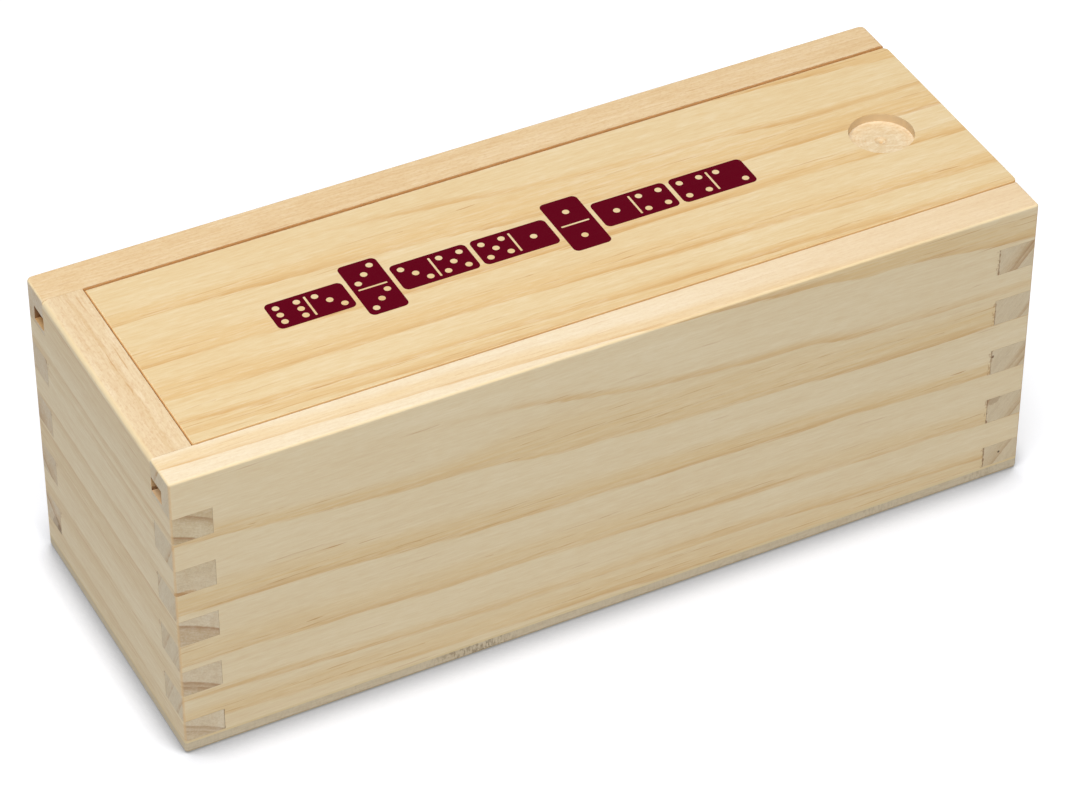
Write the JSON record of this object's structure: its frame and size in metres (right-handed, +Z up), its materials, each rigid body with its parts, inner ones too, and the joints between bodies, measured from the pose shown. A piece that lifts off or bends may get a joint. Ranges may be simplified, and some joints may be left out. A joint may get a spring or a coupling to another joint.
{
  "type": "domino storage box",
  "caption": "Plain wooden box with a sliding lid for a set of dominoes: finger-jointed walls on a plywood base, and a grooved lid with a thumb recess.",
  "frame": {"origin": "centre of the underside of the base", "axes": "+X along the box, towards the end where the lid slides out; +Y from the front wall to the back wall; +Z up"},
  "size_m": [0.2004, 0.074, 0.073],
  "materials": {
    "wall_pine": "bare sanded pine, light straw colour",
    "lid_pine": "bare sanded pine with golden grain along the length",
    "ply_veneer": "thin pale veneer, sanded",
    "ply_core": "cross-grain ply, open grey-brown end grain at the edges",
    "lid_print": "dark maroon ink printed on the lid"
  },
  "bodies": {
    "box": {"front_side": "wall_pine", "back_side": "wall_pine", "left_end": "wall_pine", "right_end": "wall_pine", "base_top_veneer": "ply_veneer", "base_core": "ply_core", "base_bottom_veneer": "ply_veneer"},
    "lid": {"sliding_lid": "lid_pine"}
  },
  "joints": [
    {"name": "lid_slide", "type": "slide", "parent": "box", "child": "lid", "axis": [1, 0, 0], "range_m": [0, 0.191]}
  ]
}
